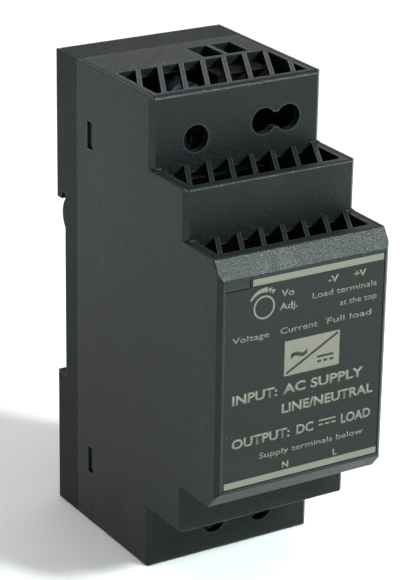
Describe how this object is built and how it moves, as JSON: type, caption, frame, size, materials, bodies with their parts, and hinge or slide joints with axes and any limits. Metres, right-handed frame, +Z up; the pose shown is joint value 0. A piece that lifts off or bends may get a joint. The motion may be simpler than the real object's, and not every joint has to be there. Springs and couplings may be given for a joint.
{
  "type": "din rail power supply",
  "caption": "Stepped narrow control-cabinet power supply that clips onto a 35 mm rail, with screw terminals, an adjuster and vents.",
  "frame": {"origin": "middle of the lower end of the case, at its lowest plane", "axes": "+Z up along the case, +X to the right seen from the front, -Y out of the front panel"},
  "size_m": [0.035, 0.0576, 0.09],
  "materials": {
    "aluminium_sheet": "rolled sheet",
    "board_laminate": "green solder resist over glass laminate",
    "bobbin_plastic": "black phenolic",
    "brass": "turned brass",
    "capacitor_sleeve": "shrunk sleeve, bare aluminium top",
    "case_plastic": "fine spark-eroded grain, dark grey flame-retardant plastic",
    "chip_plastic": "black epoxy",
    "clear_plastic": "smoked clear acrylic",
    "copper_wire": "enamelled copper",
    "ferrite": "sintered ferrite",
    "film_capacitor_plastic": "yellow box film capacitor",
    "fuse_plastic": "brown thermoplastic",
    "insulation_film": "polyester film",
    "insulation_tape": "yellow polyester tape",
    "label_film": "satin printed film",
    "latch_plastic": "dark grey moulded nylon",
    "led_green": "clear-tinted encapsulant",
    "plated_steel": "zinc plate",
    "spring_steel": "drawn spring wire",
    "terminal_plastic": "dark grey moulded nylon",
    "thermistor_coating": "dark green dipped silicone",
    "tinned_brass": "tin plate",
    "trimmer_plastic": "blue moulded body",
    "varistor_coating": "blue dipped epoxy"
  },
  "bodies": {
    "case": {"bridge_rectifier": "chip_plastic", "bulk_capacitor": "capacitor_sleeve", "chip_resistors": "chip_plastic", "control_board": "board_laminate", "control_ic": "chip_plastic", "emi_choke_core": "ferrite", "emi_choke_windings": "copper_wire", "front_housing": "case_plastic", "front_label": "label_film", "fuse": "fuse_plastic", "input_contact_bars": "tinned_brass", "input_terminal_block": "terminal_plastic", "inrush_thermistor": "thermistor_coating", "insulation_sheet": "insulation_film", "latch_spring": "spring_steel", "light_guide": "clear_plastic", "main_board": "board_laminate", "optocoupler": "chip_plastic", "output_capacitor_a": "capacitor_sleeve", "output_capacitor_b": "capacitor_sleeve", "output_capacitor_c": "capacitor_sleeve", "output_contact_bars": "tinned_brass", "output_inductor": "ferrite", "output_rectifier": "chip_plastic", "output_rectifier_clamp_nut": "plated_steel", "output_rectifier_clamp_screw": "plated_steel", "output_rectifier_heat_sink": "aluminium_sheet", "output_terminal_block": "terminal_plastic", "rear_base": "case_plastic", "status_led": "led_green", "switching_transistor": "chip_plastic", "switching_transistor_clamp_nut": "plated_steel", "switching_transistor_clamp_screw": "plated_steel", "switching_transistor_heat_sink": "aluminium_sheet", "transformer_bobbin": "bobbin_plastic", "transformer_core_lower": "ferrite", "transformer_core_upper": "ferrite", "transformer_tape": "insulation_tape", "transformer_winding": "copper_wire", "trimmer_body": "trimmer_plastic", "varistor": "varistor_coating", "x_capacitor": "film_capacitor_plastic", "y_capacitor": "varistor_coating"},
    "output_screw_left": {"output_screw_left": "plated_steel"},
    "output_cage_left": {"output_cage_left": "plated_steel"},
    "output_screw_right": {"output_screw_right": "plated_steel"},
    "output_cage_right": {"output_cage_right": "plated_steel"},
    "input_screw_left": {"input_screw_left": "plated_steel"},
    "input_cage_left": {"input_cage_left": "plated_steel"},
    "input_screw_right": {"input_screw_right": "plated_steel"},
    "input_cage_right": {"input_cage_right": "plated_steel"},
    "trimmer_rotor": {"trimmer_rotor": "brass"},
    "rail_latch": {"rail_latch": "latch_plastic"}
  },
  "joints": [
    {"name": "rail_latch_slide", "type": "slide", "parent": "case", "child": "rail_latch", "axis": [0, 0, -1], "range_m": [0, 0.004], "stiffness_N_per_m": 800, "springref_m": -0.003, "deforming": ["latch_spring"]},
    {"name": "output_screw_left_turn", "type": "hinge", "parent": "case", "child": "output_screw_left", "pos_m": [0.00542, 0.00755, 0.08235], "axis": [0, 1, 0], "range_deg": [0, 2000]},
    {"name": "output_cage_left_rise", "type": "slide", "parent": "case", "child": "output_cage_left", "axis": [0, -1, 0], "range_m": [0, 0.0025]},
    {"name": "output_screw_right_turn", "type": "hinge", "parent": "case", "child": "output_screw_right", "pos_m": [0.0105, 0.00755, 0.08235], "axis": [0, 1, 0], "range_deg": [0, 2000]},
    {"name": "output_cage_right_rise", "type": "slide", "parent": "case", "child": "output_cage_right", "axis": [0, -1, 0], "range_m": [0, 0.0025]},
    {"name": "input_screw_left_turn", "type": "hinge", "parent": "case", "child": "input_screw_left", "pos_m": [-0.00342, 0.00755, 0.0063], "axis": [0, 1, 0], "range_deg": [0, 2000]},
    {"name": "input_cage_left_rise", "type": "slide", "parent": "case", "child": "input_cage_left", "axis": [0, -1, 0], "range_m": [0, 0.0025]},
    {"name": "input_screw_right_turn", "type": "hinge", "parent": "case", "child": "input_screw_right", "pos_m": [0.00674, 0.00755, 0.0063], "axis": [0, 1, 0], "range_deg": [0, 2000]},
    {"name": "input_cage_right_rise", "type": "slide", "parent": "case", "child": "input_cage_right", "axis": [0, -1, 0], "range_m": [0, 0.0025]},
    {"name": "trimmer_turn", "type": "hinge", "parent": "case", "child": "trimmer_rotor", "pos_m": [-0.00845, -0.00265, 0.0813], "axis": [0, -1, 0], "range_deg": [-135, 135]}
  ],
  "couplings": [
    {"joint": "output_screw_left_turn", "follows": "output_cage_left_rise", "rad_per_m": 13963},
    {"joint": "output_screw_right_turn", "follows": "output_cage_right_rise", "rad_per_m": 13963},
    {"joint": "input_screw_left_turn", "follows": "input_cage_left_rise", "rad_per_m": 13963},
    {"joint": "input_screw_right_turn", "follows": "input_cage_right_rise", "rad_per_m": 13963}
  ]
}
